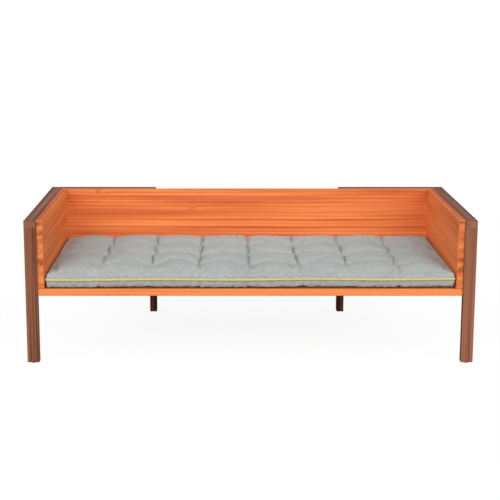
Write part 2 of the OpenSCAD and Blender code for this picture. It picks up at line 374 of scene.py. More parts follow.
def ring_tone(tree, place, bulges, ring_gap, seed, look):
    """Growth rings that wander along the grain and go round the knots, each of its own strength."""
    wander = cloud_of(tree, place, (1.6, 11, 11), detail=2, seed=seed)
    shake = cloud_of(tree, place, (9, 60, 60), detail=2, seed=seed + 3)
    across = vector_of(tree, "MULTIPLY", place, (0, 1, 1)).outputs[0]
    radius = vector_of(tree, "LENGTH", across).outputs["Value"]
    radius = sum_of(tree, "MULTIPLY_ADD", wander, look["wander"], radius)
    radius = sum_of(tree, "MULTIPLY_ADD", shake, look["shake"], radius)
    for bulge in bulges:
        radius = sum_of(tree, "MULTIPLY_ADD", bulge, KNOT_BULGE, radius)
    rings = sum_of(tree, "DIVIDE", radius, ring_gap)
    tone = steps_of(tree, sum_of(tree, "FRACT", rings), look["ring_steps"])
    number = sum_of(tree, "ADD", sum_of(tree, "FLOOR", rings), seed)
    each = put(tree, "ShaderNodeTexWhiteNoise", {"W": number}, noise_dimensions="1D")
    strength = sum_of(tree, "MULTIPLY_ADD", each.outputs["Value"], 0.75, 0.3)
    return sum_of(tree, "MULTIPLY", tone, strength)


def streaks_and_bands(tree, place, seed, look):
    """Fine dark streaks along the grain, and broad soft bands."""
    stretch = (1.5, look["fineness"], look["fineness"])
    streak = cloud_of(tree, place, stretch, detail=3, rough=0.55, seed=seed + 5)
    band = cloud_of(tree, place, look["band_place"], detail=1, seed=seed + 9)
    return steps_of(tree, streak, [(0.36, 0), (0.64, 1)]), steps_of(tree, band, [(0.30, 0), (0.70, 1)])


def end_grain(tree, place, axis, true_normal, colour, seed, look):
    """Puts dark arcs of end grain on the faces that the grain runs into."""
    grain_way = [float(axis == each_axis) for each_axis in (X, Y, Z)]
    facing = vector_of(tree, "DOT_PRODUCT", true_normal, grain_way).outputs["Value"]
    end = steps_of(tree, sum_of(tree, "ABSOLUTE", facing), SQUARE_ON)
    arc = cloud_of(tree, place, (30, 20, 62), detail=3, seed=seed + 15)
    arc = steps_of(tree, arc, [(0.38, 0), (0.62, 1)])
    ends = blend_of(tree, arc, look["end_pale"], look["end_dark"])
    return blend_of(tree, sum_of(tree, "MULTIPLY", end, look["end_share"]), colour, ends)


def timber_material(name, finish, heart, seed, look):
    """Wood as a solid: growth rings, streaks, bands, fibres, pores, knots, end grain and worn edges."""
    material, tree, shader = blank_material(name + "_" + look["kind"])
    place = grain_coordinates(tree, name, heart)
    true_normal = put(tree, "ShaderNodeNewGeometry").outputs["True Normal"]
    upright = put(tree, "ShaderNodeSeparateXYZ", {0: true_normal}).outputs["Z"]
    bulges = knot_bulges(tree, name, place, heart, look.get("knots", ()))
    tone = ring_tone(tree, place, bulges, finish.ring_gap, seed, look)
    streak, band = streaks_and_bands(tree, place, seed, look)
    fibre = cloud_of(tree, place, (26, 1300, 1300), detail=2, rough=0.6, seed=seed)
    pore = cloud_of(tree, place, (130, 2400, 2400), detail=1, seed=seed + 12)
    pore = steps_of(tree, pore, [(0.66, 0), (0.74, 1)])

    parts = [(tone, look["ring"]), (streak, look["streak"]), (band, look["band"]), (fibre, FIBRE_WEIGHT)]
    parts += [(steps_of(tree, bulge, SQUARE_ON), KNOT_WEIGHT) for bulge in bulges]
    # Painted shade: darkens the faces that look up, against the light that falls on them from above.
    parts.append((steps_of(tree, upright, SQUARE_ON), look["painted_top_shade"]))
    depth = 0.0
    for part, weight in parts:
        depth = sum_of(tree, "MULTIPLY_ADD", part, weight, depth)
    depth = sum_of(tree, "ADD", depth, look["depth"] + look["tone"], clamp=True)
    colour = blend_of(tree, depth, finish.pale, finish.dark)
    pore_colour = [0.35 * part for part in finish.dark]
    colour = blend_of(tree, sum_of(tree, "MULTIPLY", pore, look["pore"]), colour, pore_colour)
    colour = end_grain(tree, place, grain_axis(name), true_normal, colour, seed, look)
    worn = sum_of(tree, "MULTIPLY", edge_wear(tree, WORN_WIDTH), look["wear"])
    colour = blend_of(tree, worn, colour, look["worn_colour"])

    rough = sum_of(tree, "MULTIPLY_ADD", fibre, 0.16, finish.roughness - 0.08)
    rough = sum_of(tree, "MULTIPLY_ADD", tone, -0.07, rough)
    feed(tree, shader, {"Base Color": colour, "Roughness": rough, "Specular IOR Level": look["gloss"]})
    relief = sum_of(tree, "MULTIPLY_ADD", pore, -0.8, sum_of(tree, "MULTIPLY", fibre, 0.5))
    relief = sum_of(tree, "MULTIPLY_ADD", tone, 0.35, relief)
    raise_surface(tree, shader, relief, look["relief"])
    return material


class DOGBED_OT_walnut_frame(bpy.types.Operator):
    """Finish the legs and rails in oiled walnut."""

    bl_idname = "dogbed.walnut_frame"
    bl_label = "Walnut frame"

    def execute(self, context):
        finish = context.scene.dogbed_walnut
        for number, name in enumerate(sorted(WALNUT_NODES)):
            # Each bar is cut from its own place in the tree, so no two have the same grain
            side = 1 if name.endswith("left") else -1
            heart = (side * (75 + 9 * number) * MM, (38 - 7 * number) * MM)
            if grain_axis(name) == Z:
                heart = heart[::-1]
            # The back legs' large tone is painted shade from the bed above them.
            look = dict(WALNUT_LOOK, tone=WALNUT_TONES_AND_SHADE.get(name, DEFAULT_WALNUT_TONE))
            finish_node(name, timber_material(name, finish, heart, 1.3 + 2.1 * number, look))
        return {"FINISHED"}


class DOGBED_OT_pine_boards(bpy.types.Operator):
    """Finish the panels, planks and battens in orange stained pine."""

    bl_idname = "dogbed.pine_boards"
    bl_label = "Pine boards"

    def execute(self, context):
        finish = context.scene.dogbed_pine
        panel_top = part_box("back_panel")[1].z
        knots = [(-454 * MM, panel_top - 9 * MM), (-169 * MM, panel_top - 58 * MM)]
        kinds = {
            "back_panel": {"tone": 0.18, "knots": knots},
            # The side panels get painted shade on their upper faces.
            "side_panel": {"tone": 0.12, "painted_top_shade": 0.40},
            "base_plank": {"tone": -0.32},
        }
        for number, name in enumerate(sorted(PINE_NODES)):
            # Flat sawn: the heart lies below the board, further down from one board to the next
            heart = (24 * MM, -(190 + 13 * number) * MM)
            look = dict(PINE_LOOK)
            for beginning, changes in kinds.items():
                if name.startswith(beginning):
                    look.update(changes)
            finish_node(name, timber_material(name, finish, heart, 4.7 + 1.9 * number, look))
        return {"FINISHED"}


# ---------------------------------------------------------------- fixings

def beech_material():
    """Pale turned dowel wood with short dark flecks."""
    material, tree, shader = blank_material("beech_dowel")
    place = object_place(tree)
    fleck = steps_of(tree, cloud_of(tree, place, (700, 700, 700), detail=2), [(0.50, 0), (0.68, 1)])
    cloud = cloud_of(tree, place, (90, 90, 90), detail=3)
    colour = blend_of(tree, cloud, (0.62, 0.39, 0.22), (0.47, 0.27, 0.14))
    colour = blend_of(tree, sum_of(tree, "MULTIPLY", fleck, 0.4), colour, (0.25, 0.12, 0.06))
    feed(tree, shader, {"Base Color": colour, "Roughness": 0.55})
    raise_surface(tree, shader, fleck, 0.1 * MM)
    return material


def zinc_material():
    """Bright zinc plate with a faint brushed grain and dull blooms."""
    material, tree, shader = blank_material("zinc_screw")
    place = object_place(tree)
    bloom = cloud_of(tree, place, (420, 420, 420), detail=4, rough=0.6)
    brush = cloud_of(tree, place, (300, 300, 4000), detail=1)
    colour = blend_of(tree, bloom, (0.66, 0.66, 0.63), (0.48, 0.49, 0.50))
    roughness = sum_of(tree, "MULTIPLY_ADD", bloom, 0.25, 0.22)
    feed(tree, shader, {"Base Color": colour, "Metallic": 1.0, "Roughness": roughness})
    raise_surface(tree, shader, brush, 0.03 * MM)
    return material


def nylon_material():
    """Dark brown moulded nylon with a fine spark-eroded texture."""
    material, tree, shader = blank_material("nylon_glide")
    place = object_place(tree)
    pebble = cloud_of(tree, place, (1500, 1500, 1500), detail=2)
    scuff = cloud_of(tree, place, (160, 160, 160), detail=4, rough=0.7)
    scuff = steps_of(tree, scuff, [(0.50, 0), (0.72, 1)])
    colour = blend_of(tree, scuff, (0.022, 0.016, 0.013), (0.075, 0.062, 0.055))
    roughness = sum_of(tree, "MULTIPLY_ADD", scuff, 0.2, 0.45)
    feed(tree, shader, {"Base Color": colour, "Roughness": roughness})
    raise_surface(tree, shader, pebble, 0.06 * MM)
    return material



class DOGBED_OT_fixings(bpy.types.Operator):
    """Finish the dowels, screws and leg glides."""

    bl_idname = "dogbed.fixings"
    bl_label = "Dowels, screws and glides"

    def execute(self, context):
        beech = beech_material()
        for name in DOWEL_NODES:
            finish_node(name, beech)
        zinc = zinc_material()
        for name in SCREW_NODES:
            finish_node(name, zinc)
        finish_node("leg_glides", nylon_material())
        return {"FINISHED"}


# ---------------------------------------------------------------- mattress: the flat pattern

GRID_STEP = 6.5 * MM            # cell of the cloth before it is smoothed
ROLL_CELLS = 7                  # cells round the rolled edge
CORNER_RADIUS = 7 * MM          # plan radius of the mattress corners
TOP_ROLL = 10 * MM              # how far in from the seam the top becomes flat
BOTTOM_ROLL = 6 * MM
ROLL_FULLNESS = 3.2             # 2 is a round edge, more is squarer
TOP_RISE = 16 * MM              # from the seam to the flat of the top
EDGE_LIFT = 8.0 * MM            # the seam draws the underside up this far at the edge
LIFT_REACH = 70 * MM            # and up to this far in
BOTTOM_CLEARANCE = 0.5 * MM     # between the mattress and the boards
TUFT_WANDER = 2.5 * MM          # hand tied, so no tuft is quite in its place
TUFT_SEED = 5


def share_of(distance, reach):
    """From 0 to 1 as a distance goes from 0 to `reach`."""
    return np.clip(distance / reach, 0, 1)


def bell(off, width):
    """1 where `off` is zero, dying away smoothly to both sides."""
    return np.exp(-(off / width) ** 2)


def sheet_lines(half, step):
    """Places of the grid lines over one way of the pad: even over the flat, closer round the rolled edge."""
    flat = half - TOP_ROLL
    turns = [math.pi / 2 * turn / ROLL_CELLS for turn in range(1, ROLL_CELLS + 1)]
    rolled = [flat + TOP_ROLL * math.sin(turn) for turn in turns]
    spans = round(2 * flat / step)
    middle = [-flat + 2 * flat * span / spans for span in range(spans + 1)]
    return np.array([-place for place in reversed(rolled)] + middle + rolled)


def cloth_lengths(lines, half):
    """The same grid lines, measured along the cloth, which runs round the rolled edge."""
    flat = half - TOP_ROLL
    over = np.clip(np.abs(lines) - flat, 0, TOP_ROLL)
    return np.sign(lines) * (np.minimum(np.abs(lines), flat) + TOP_ROLL * np.arcsin(over / TOP_ROLL))


def pad_plan():
    """Plan place of every grid point, with round corners, how far it lies in from the seam, and where it is
    on the flat cloth."""
    lines_x = sheet_lines(HALF_LENGTH, GRID_STEP)
    lines_y = sheet_lines(HALF_DEPTH, GRID_STEP)
    grid_x, grid_y = np.meshgrid(lines_x, lines_y, indexing="ij")
    into_x = share_of(np.abs(grid_x) - (HALF_LENGTH - CORNER_RADIUS), CORNER_RADIUS)
    into_y = share_of(np.abs(grid_y) - (HALF_DEPTH - CORNER_RADIUS), CORNER_RADIUS)
    corner = (into_x > 0) & (into_y > 0)
    round_x = into_x * np.sqrt(1 - into_y ** 2 / 2)
    round_y = into_y * np.sqrt(1 - into_x ** 2 / 2)
    plan_x = np.where(corner, np.sign(grid_x) * (HALF_LENGTH - CORNER_RADIUS * (1 - round_x)), grid_x)
    plan_y = np.where(corner, np.sign(grid_y) * (HALF_DEPTH - CORNER_RADIUS * (1 - round_y)), grid_y)
    inside = np.where(corner, CORNER_RADIUS * (1 - np.hypot(round_x, round_y)),
                      np.minimum(HALF_LENGTH - np.abs(grid_x), HALF_DEPTH - np.abs(grid_y)))
    cloth_x = cloth_lengths(lines_x, HALF_LENGTH)
    cloth_y = cloth_lengths(lines_y, HALF_DEPTH)
    flat = np.stack(np.meshgrid(cloth_x, cloth_y, indexing="ij"), axis=-1)
    return plan_x + PAD_MIDDLE[0], plan_y + PAD_MIDDLE[1], np.clip(inside, 0, None), flat


def rolled_height(inside, rise, roll):
    """Height above or below the seam of a point that lies `inside` the edge."""
    left = 1 - share_of(inside, roll)
    return rise * (1 - left ** ROLL_FULLNESS) ** (1 / ROLL_FULLNESS)


def tuft_places():
    """Where the ties are, column by column, each column from the front to the back."""
    random = np.random.default_rng(TUFT_SEED)
    wander = random.normal(0, TUFT_WANDER, (TUFT_COLUMNS, TUFT_ROWS, 2))
    wander = wander.clip(-2 * TUFT_WANDER, 2 * TUFT_WANDER)
    columns = (np.arange(TUFT_COLUMNS) - (TUFT_COLUMNS - 1) / 2) * TUFT_PITCH_X + PAD_MIDDLE[0]
    rows = (np.arange(TUFT_ROWS) - (TUFT_ROWS - 1) / 2) * TUFT_PITCH_Y + PAD_MIDDLE[1]
    even = np.stack(np.meshgrid(columns, rows, indexing="ij"), axis=-1)
    return even + wander


# ---------------------------------------------------------------- mattress: swelling the pad

TUFT_SINK = 7 * MM              # how far a tie pulls the top down
TUFT_REACH = 16 * MM
TIED_RADIUS = 4.8 * MM          # cloth that is caught by a tie
GROOVE_SINK = 3 * MM            # valley that joins the ties from front to back
GROOVE_WIDTH = 8 * MM
GROOVE_HOLD = 0.3
GROOVE_LEAD = 50 * MM           # how far in front of its front tie a valley starts
GROOVE_FADE = 70 * MM           # how far from the back it starts to die out
GROOVE_STOP = 4 * MM            # how far from the back it ends
SEAM_HOLD = 0.6
EDGE_HOLD = 0.30                # keeps the rolled edge boxy
EDGE_BAND = 16 * MM
RESTING_MARGIN = 7 * MM         # the underside is held further in than this
LUMPS = ((1.2 * MM, 22), (0.7 * MM, 60))        # height and fineness of the lumps of the filling
SEAM_SAG = 3.0 * MM             # how far the seam hangs in the middle of the mattress
SEAM_TILT = 0.9 * MM            # how much less it hangs at the right end, and more at the left
SEAM_SWING = 0.9 * MM           # how far it wanders up and down along its length
SEAM_REACH = 30 * MM            # how far in from the seam this is felt
MOST_MOVE = 16 * MM
END_ROOM = 3 * MM               # how far past the CAD cover the pad may swell, at its ends,
FRONT_ROOM = 2.2 * MM           # at its front
BACK_ROOM = 3 * MM              # and at its back
SKY = 1.0                       # a height that nothing reaches


def join_sheets(top, bottom):
    """One list of points from two grids that share their outer line, and the point numbers of each grid."""
    across, along = top.shape[:2]
    top_index = np.arange(across * along).reshape(across, along)
    inner = np.zeros((across, along), bool)
    inner[1:-1, 1:-1] = True
    bottom_index = top_index.copy()
    bottom_index[inner] = across * along + np.arange(inner.sum())
    points = np.concatenate([top.reshape(-1, 3), bottom[inner]])
    return points, top_index, bottom_index


def sheet_faces(index, up):
    """Four-sided faces of a grid, facing up or down."""
    corners = [index[:-1, :-1], index[1:, :-1], index[1:, 1:], index[:-1, 1:]]
    if not up:
        corners.reverse()
    return np.stack(corners, axis=-1).reshape(-1, 4)


def mesh_of(name, points, faces):
    """A mesh from arrays of points and faces."""
    mesh = bpy.data.meshes.new(name)
    mesh.from_pydata(points.reshape(-1, 3).tolist(), [], faces.tolist())
    return mesh


def closed_pad(name, points, top_index, bottom_index):
    """A closed mesh of a top and a bottom sheet that share their edge."""
    faces = np.concatenate([sheet_faces(top_index, True), sheet_faces(bottom_index, False)])
    return mesh_of(name, points, faces)


def groove_line(column, y):
    """Place of a column's valley at depth y, from one tie to the next."""
    return np.interp(y, column[:, 1], column[:, 0])


def groove_share(column, y):
    """A valley fades out a little in front of its front tie and just short of the back seam."""
    front = share_of(y - (column[0, 1] - GROOVE_LEAD), GROOVE_LEAD)
    back = share_of(BACK_SEAM - GROOVE_STOP - y, GROOVE_FADE)
    return front * back


def seam_wave(plan_x, inside):
    """How far the seam, which is sewn by hand, sags and wanders along its length. This dies out inwards."""
    run = (plan_x - PAD_MIDDLE[0]) / HALF_LENGTH
    sag = SEAM_TILT * run - SEAM_SAG - SEAM_SWING * np.cos(2.6 * math.pi * run + 0.7)
    return sag * (1 - share_of(inside, SEAM_REACH))


def sewn_pad():
    """The pad before it is swollen: its points, how firmly each is held, the two grids of point numbers,
    and the flat cloth."""
    plan_x, plan_y, inside, flat = pad_plan()
    top = np.stack([plan_x, plan_y, SEAM_HEIGHT + rolled_height(inside, TOP_RISE, TOP_ROLL)], axis=-1)
    lift = EDGE_LIFT * (1 - share_of(inside, LIFT_REACH)) ** 1.5
    drop = SEAM_HEIGHT - BOARD_TOP - BOTTOM_CLEARANCE - lift
    bottom = np.stack([plan_x, plan_y, SEAM_HEIGHT - rolled_height(inside, drop, BOTTOM_ROLL)], axis=-1)
    for cell in np.ndindex(inside.shape):
        place = Vector(top[cell])
        top[cell][Z] += sum(height * noise.noise(place * fineness) for height, fineness in LUMPS)
    hold_top = np.where(inside < EDGE_BAND, EDGE_HOLD, 0.0)
    hold_bottom = np.where(inside > RESTING_MARGIN, 1.0, EDGE_HOLD)
    for column in tuft_places():
        off = np.abs(plan_x - groove_line(column, plan_y))
        share = groove_share(column, plan_y)
        top[..., Z] -= GROOVE_SINK * bell(off, GROOVE_WIDTH) * share
        in_groove = (off < GRID_STEP / 2) & (share > 0.3)
        hold_top = np.where(in_groove, np.maximum(hold_top, GROOVE_HOLD * share), hold_top)
        for tuft in column:
            away = np.hypot(plan_x - tuft[0], plan_y - tuft[1])
            top[..., Z] -= TUFT_SINK * bell(away, TUFT_REACH)
            hold_top = np.where(away < max(TIED_RADIUS, away.min() + 0.1 * MM), 1.0, hold_top)
    rim = inside <= 1e-6
    wave = seam_wave(plan_x, inside)
    top[..., Z] += wave
    bottom[..., Z] += wave
    top[rim, Z] = bottom[rim, Z] = SEAM_HEIGHT + wave[rim]
    hold_top[rim] = SEAM_HOLD
    points, top_index, bottom_index = join_sheets(top, bottom)
    hold = np.concatenate([hold_top.reshape(-1), hold_bottom[1:-1, 1:-1].reshape(-1)])
    return points, hold, top_index, bottom_index, flat


def swell(mesh, hold, settings):
    """Blows the pad up as cloth, with the ties and the seam held, and returns where its points end."""
    pad = bpy.data.objects.new("pad_to_swell", mesh)
    bpy.context.scene.collection.objects.link(pad)
    group = pad.vertex_groups.new(name="held")
    for index in np.nonzero(hold)[0]:
        group.add([int(index)], float(hold[index]), "REPLACE")
    cloth = pad.modifiers.new("Cloth", "CLOTH")
    rules = cloth.settings
    rules.quality = 6
    rules.mass = 0.15
    rules.tension_stiffness = rules.compression_stiffness = 15
    rules.shear_stiffness = 5
    rules.bending_stiffness = 0.1
    rules.vertex_group_mass = "held"
    rules.pin_stiffness = 2
    rules.use_pressure = True
    rules.uniform_pressure_force = settings.pressure
    rules.shrink_min = rules.shrink_max = -settings.spare_cloth
    rules.effector_weights.gravity = 0
    cloth.collision_settings.use_collision = False
    cloth.point_cache.frame_start = 1
    cloth.point_cache.frame_end = settings.steps
    for step in range(1, settings.steps + 1):
        bpy.context.scene.frame_set(step)
    swollen = pad.evaluated_get(bpy.context.evaluated_depsgraph_get())
    result = np.empty(len(hold) * 3, np.float32)
    swollen.data.vertices.foreach_get("co", result)
    bpy.data.objects.remove(pad)
    bpy.data.meshes.remove(mesh)
    bpy.context.scene.frame_set(1)
    return result.reshape(-1, 3).astype(float)


def keep_inside(points, start):
    """Caps how far a point has moved, and keeps the pad on the boards and clear of the panels."""
    move = points - start
    length = np.linalg.norm(move, axis=1, keepdims=True)
    points = start + move * np.minimum(1, MOST_MOVE / np.maximum(length, 1e-9))
    low = (pad_low.x - END_ROOM, pad_low.y - FRONT_ROOM, BOARD_TOP + BOTTOM_CLEARANCE)
    high = (pad_high.x + END_ROOM, pad_high.y + BACK_ROOM, SKY)
    return points.clip(low, high)


def finer(sheet):
    """A grid with a new point between each two neighbours, on the smooth curve through them."""
    for way in (0, 1):
        sheet = np.moveaxis(sheet, way, 0)
        padded = np.concatenate([2 * sheet[:1] - sheet[1:2], sheet, 2 * sheet[-1:] - sheet[-2:-1]])
        between = (9 * (padded[1:-2] + padded[2:-1]) - padded[:-3] - padded[3:]) / 16
        result = np.empty((2 * len(sheet) - 1, *sheet.shape[1:]))
        result[0::2] = sheet
        result[1::2] = between
        sheet = np.moveaxis(result, 0, way)
    return sheet


# ---------------------------------------------------------------- mattress: creases, pleats and gathers

CREASE_SEED = 11
CREASE_WIDTH = 3.0 * MM
CREASE_DRAW = 0.55              # how much the cloth beside a crease is drawn in towards it
COLUMN_CREASE = 5.4 * MM        # depth of the creases from front to back
COLUMN_BEND = 2.5 * MM
COLUMN_LEAST = (0.35, 0.2, 0.6, 0.6, 0.5)       # shares of that depth at the front seam, in front of the
COLUMN_MOST = (0.6, 0.7, 1.0, 1.0, 0.9)         # first tie, and at the three ties
COLUMN_DIP = 35 * MM            # how far in front of the first tie it is shallowest
COLUMN_FADE = 25 * MM
ROW_CREASE = 4.4 * MM           # depth of the creases across the bed
ROW_BOW = 7 * MM
ROW_FADE = 90 * MM              # how far they run on past the last ties
PLEATS = 4                      # pleats from each tie
PLEAT_LENGTH = 34 * MM
PLEAT_DEPTH = 2.4 * MM
PLEAT_START = 4 * MM
PLEAT_WIDTH = 0.8 * CREASE_WIDTH
PUCKER_PITCH = 11 * MM
PUCKER_DEPTH = 1.7 * MM
PUCKER_SLANT = 0.7
PUCKER_BAND = 26 * MM
TOP_PUCKER = 0.6                # the gathers are weaker on the top
NOTCH_RISE = 3.5 * MM
NOTCH_WIDTH = 5 * MM
NOTCH_REACH = 40 * MM
EDGES = (np.s_[0], np.s_[-1], np.s_[:, 0], np.s_[:, -1])


def press_crease(sheet, off, across, share, depth):
    """Presses a sharp valley where `off` is zero, and draws the cloth in towards it along axis `across`."""
    sheet[..., Z] -= depth * share * bell(off, CREASE_WIDTH)
    sheet[..., across] -= CREASE_DRAW * off * share * bell(off, 3 * CREASE_WIDTH)


def crease_columns(top, random):
    """Sharp creases from tie to tie, front to back, which run on over the front edge."""
    for column in tuft_places():
        swing = (top[..., Y] - column[0, 1]) * 2 * math.pi / TUFT_PITCH_Y
        bend = COLUMN_BEND * np.sin(swing + random.uniform(0, 6))
        off = top[..., X] - groove_line(column, top[..., Y]) - bend
        levels = random.uniform(COLUMN_LEAST, COLUMN_MOST)
        stations = [FRONT_SEAM, column[0, 1] - COLUMN_DIP, *column[:, 1]]
        share = np.interp(top[..., Y], stations, levels)
        share = share * share_of(BACK_SEAM - top[..., Y], COLUMN_FADE)
        press_crease(top, off, X, share, COLUMN_CREASE)


def crease_rows(top, random):
    """Shallow creases from tie to tie across the bed, bowed towards the back."""
    places = tuft_places()
    for row in range(TUFT_ROWS):
        chain = places[:, row]
        step = (top[..., X] - chain[0, 0]) / TUFT_PITCH_X
        bow = ROW_BOW * np.abs(np.sin(math.pi * step)) * random.uniform(0.5, 1.2)
        off = top[..., Y] - np.interp(top[..., X], chain[:, 0], chain[:, 1]) - bow
        beyond = np.abs(top[..., X] - PAD_MIDDLE[0]) - TUFT_PITCH_X * (TUFT_COLUMNS - 1) / 2
        share = 0.55 + 0.45 * np.cos(2 * math.pi * step)
        share = share * (1 - share_of(beyond, ROW_FADE))
        press_crease(top, off, Y, share, ROW_CREASE)


def pleat_tufts(top, random):
    """A few short pleats that run out from each tie."""
    for tuft in tuft_places().reshape(-1, 2):
        for angle in random.uniform(0, 2 * math.pi, PLEATS):
            way = np.array([math.cos(angle), math.sin(angle)])
            length = PLEAT_LENGTH * random.uniform(0.5, 1.3)
            depth = PLEAT_DEPTH * random.uniform(0.4, 1.0)
            from_tie = top[..., :2] - tuft
            along = from_tie @ way
            off = from_tie @ np.array([-way[1], way[0]]) - 0.12 * along
            share = (1 - share_of(along, length)) * share_of(along, PLEAT_START)
            top[..., Z] -= depth * share * bell(off, PLEAT_WIDTH)


def grid_normals(sheet):
    """Unit normals of a grid of points, upwards on the top sheet."""
    normal = np.cross(np.gradient(sheet, axis=0), np.gradient(sheet, axis=1))
    return normal / np.maximum(np.linalg.norm(normal, axis=-1, keepdims=True), 1e-12)


def pucker_edge(sheet, flat, side, strength):
    """Small slanted gathers where the cloth is sewn to the piping. `side` is 1 for the top sheet, -1 for the
    bottom."""
    to_end = np.abs(flat[..., 0]).max() - np.abs(flat[..., 0])
    to_side = np.abs(flat[..., 1]).max() - np.abs(flat[..., 1])
    across = np.minimum(to_end, to_side)
    along = np.where(to_side < to_end, flat[..., 0], flat[..., 1])
    ripple = np.zeros(across.shape)
    for place in np.ndindex(across.shape):
        if 0 < across[place] < PUCKER_BAND:
            run = along[place] + PUCKER_SLANT * across[place]
            gather = noise.noise((run / PUCKER_PITCH, 3.1 * side, 0.4 * across[place] / PUCKER_PITCH))
            patch = 0.55 + 0.9 * noise.noise((along[place] / (9 * PUCKER_PITCH), 7.7 * side, 0))
            ripple[place] = max(patch, 0) * (0.3 - 2.2 * abs(gather))
    fade = share_of(across, 3 * MM) * share_of(PUCKER_BAND - across, 0.5 * PUCKER_BAND)
    out = grid_normals(sheet) * side
    return sheet + (strength * PUCKER_DEPTH * ripple * fade)[..., None] * out


def notch_bottom(bottom, random):
    """The ties draw the underside up a little at the front and back edges, in line with each column."""
    inside = HALF_DEPTH - np.abs(bottom[..., Y] - PAD_MIDDLE[1])
    near = (1 - share_of(inside, NOTCH_REACH)) * share_of(inside, NOTCH_WIDTH)
    for column in tuft_places():
        off = bottom[..., X] - column[0, 0] - random.uniform(-4, 4) * MM
        bottom[..., Z] += NOTCH_RISE * near * bell(off, NOTCH_WIDTH)
    return bottom


swollen_pad = {}


def pad_sheets(settings):
    """The swollen pad as two fine grids of points, with flat cloth coordinates. Worked out once and kept."""
    if not swollen_pad:
        points, hold, top_index, bottom_index, flat = sewn_pad()
        mesh = closed_pad("pad_to_swell", points, top_index, bottom_index)
        points = keep_inside(swell(mesh, hold, settings), points)
        flat = finer(flat)
        random = np.random.default_rng(CREASE_SEED)
        top = finer(points[top_index])
        rim = top.copy()
        crease_columns(top, random)
        crease_rows(top, random)
        pleat_tufts(top, random)
        for edge in EDGES:
            top[edge] = rim[edge]
        bottom = notch_bottom(finer(points[bottom_index]), random)
        swollen_pad["top"] = pucker_edge(top, flat, 1, TOP_PUCKER)
        swollen_pad["bottom"] = pucker_edge(bottom, flat, -1, 1.0)
        swollen_pad["flat"] = flat
    return swollen_pad


# ---------------------------------------------------------------- mattress: cover, filling, piping, ties

CLOTH_THICKNESS = 0.8 * MM
WADDING_GAP = 1.6 * MM          # from the outside of the cloth to the wadding
PIPING_SIDES = 12
PIPING_EASING = 6               # times the piping's path is smoothed
CROWN_LIFT = 2.4                # height of a tie's loop over the cloth, in thicknesses of twine
BOTTOM_TIE_GAP = 3 * MM         # a tie ends this far over the boards


def make_object(name, mesh, material=None):
    """Links a mesh as an object at the origin and smooths its shading."""
    thing = bpy.data.objects.new(name, mesh)
    bpy.context.scene.collection.objects.link(thing)
    mesh.shade_smooth()
    if material:
        mesh.materials.append(material)
    return thing


def lay_cloth(mesh, flat):
    """A UV map in metres on the flat cloth, from each face corner's place on it."""
    layer = mesh.uv_layers.new(name="cloth")
    layer.data.foreach_set("uv", flat.astype(np.float32).reshape(-1))


def sheet_object(name, sheet, flat, up, material):
    """A grid of points as one piece of cloth, with a UV map in metres on the flat cloth."""
    index = np.arange(sheet.shape[0] * sheet.shape[1]).reshape(sheet.shape[:2])
    faces = sheet_faces(index, up)
    mesh = mesh_of(name, sheet, faces)
    lay_cloth(mesh, flat.reshape(-1, 2)[faces.reshape(-1)])
    return make_object(name, mesh, material)


def thread_pattern(tree, cloth, pitch):
    """Plain weave: which thread is on top, from 0 to 1, and the height of the threads."""
    parts = put(tree, "ShaderNodeSeparateXYZ", {0: cloth})
    wave_u, wave_v = [
        sum_of(tree, "SINE", sum_of(tree, "MULTIPLY", parts.outputs[way], math.pi / pitch))
        for way in ("X", "Y")]
    over = sum_of(tree, "MULTIPLY", wave_u, wave_v)
    on_top = sum_of(tree, "MULTIPLY_ADD", over, 0.5, 0.5)
    height = sum_of(tree, "ABSOLUTE", over)
    return on_top, height


def chambray_material(settings):
    """Grey-green chambray: pale weft over darker warp, with slubs, a slight wash-out and a soft nap."""
    material, tree, shader = blank_material("chambray")
    cloth = put(tree, "ShaderNodeUVMap", uv_map="cloth").outputs[0]
    on_top, height = thread_pattern(tree, cloth, settings.thread_pitch)
    warp_slub = cloud_of(tree, cloth, (30, 900, 1), detail=3, rough=0.6)
    weft_slub = cloud_of(tree, cloth, (900, 30, 1), detail=3, rough=0.6, seed=4)
    patch = cloud_of(tree, cloth, (14, 14, 1), detail=4, rough=0.6, seed=9)
    colour = blend_of(tree, on_top, settings.warp_colour, settings.weft_colour)
    slub = sum_of(tree, "ADD", warp_slub, weft_slub)
    light = sum_of(tree, "MULTIPLY_ADD", slub, 0.32, sum_of(tree, "MULTIPLY_ADD", patch, 0.16, 0.60))
    tinted = put(tree, "ShaderNodeCombineColor", {0: light, 1: light, 2: light}).outputs[0]
    feed(tree, shader, {
        "Base Color": blend_of(tree, 1.0, colour, tinted, "MULTIPLY"),
        "Roughness": 0.92,
        "Sheen Weight": 0.18,
        "Sheen Roughness": 0.5,
        "Specular IOR Level": 0.25,
    })
    relief = sum_of(tree, "MULTIPLY_ADD", slub, 0.6, height)
    raise_surface(tree, shader, relief, 0.22 * MM)
    return material


class DOGBED_OT_cover(bpy.types.Operator):
    """Swell the pad and make the two halves of its cover."""

    bl_idname = "dogbed.cover"
    bl_label = "Mattress cover"

    def execute(self, context):
        settings = context.scene.dogbed_mattress
        pad = pad_sheets(settings)
        cloth = chambray_material(settings)
        for half, up in (("top", True), ("bottom", False)):
            cover = sheet_object("cover_" + half, pad[half], pad["flat"], up, cloth)
            thick = cover.modifiers.new("Cloth thickness", "SOLIDIFY")
            thick.thickness = CLOTH_THICKNESS
            thick.offset = -1
            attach(cover, "mattress")
            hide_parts("mattress_cover_" + half)
        return {"FINISHED"}


def wadding_material():
    """Off-white cotton wadding, matt and lumpy."""
    material, tree, shader = blank_material("cotton_wadding")
    tuft = cloud_of(tree, object_place(tree), (160, 160, 160), detail=5, rough=0.7)
    colour = blend_of(tree, tuft, (0.82, 0.79, 0.72), (0.66, 0.62, 0.54))
    feed(tree, shader, {"Base Color": colour, "Roughness": 1.0, "Sheen Weight": 0.4})
    raise_surface(tree, shader, tuft, 1.5 * MM)
    return material


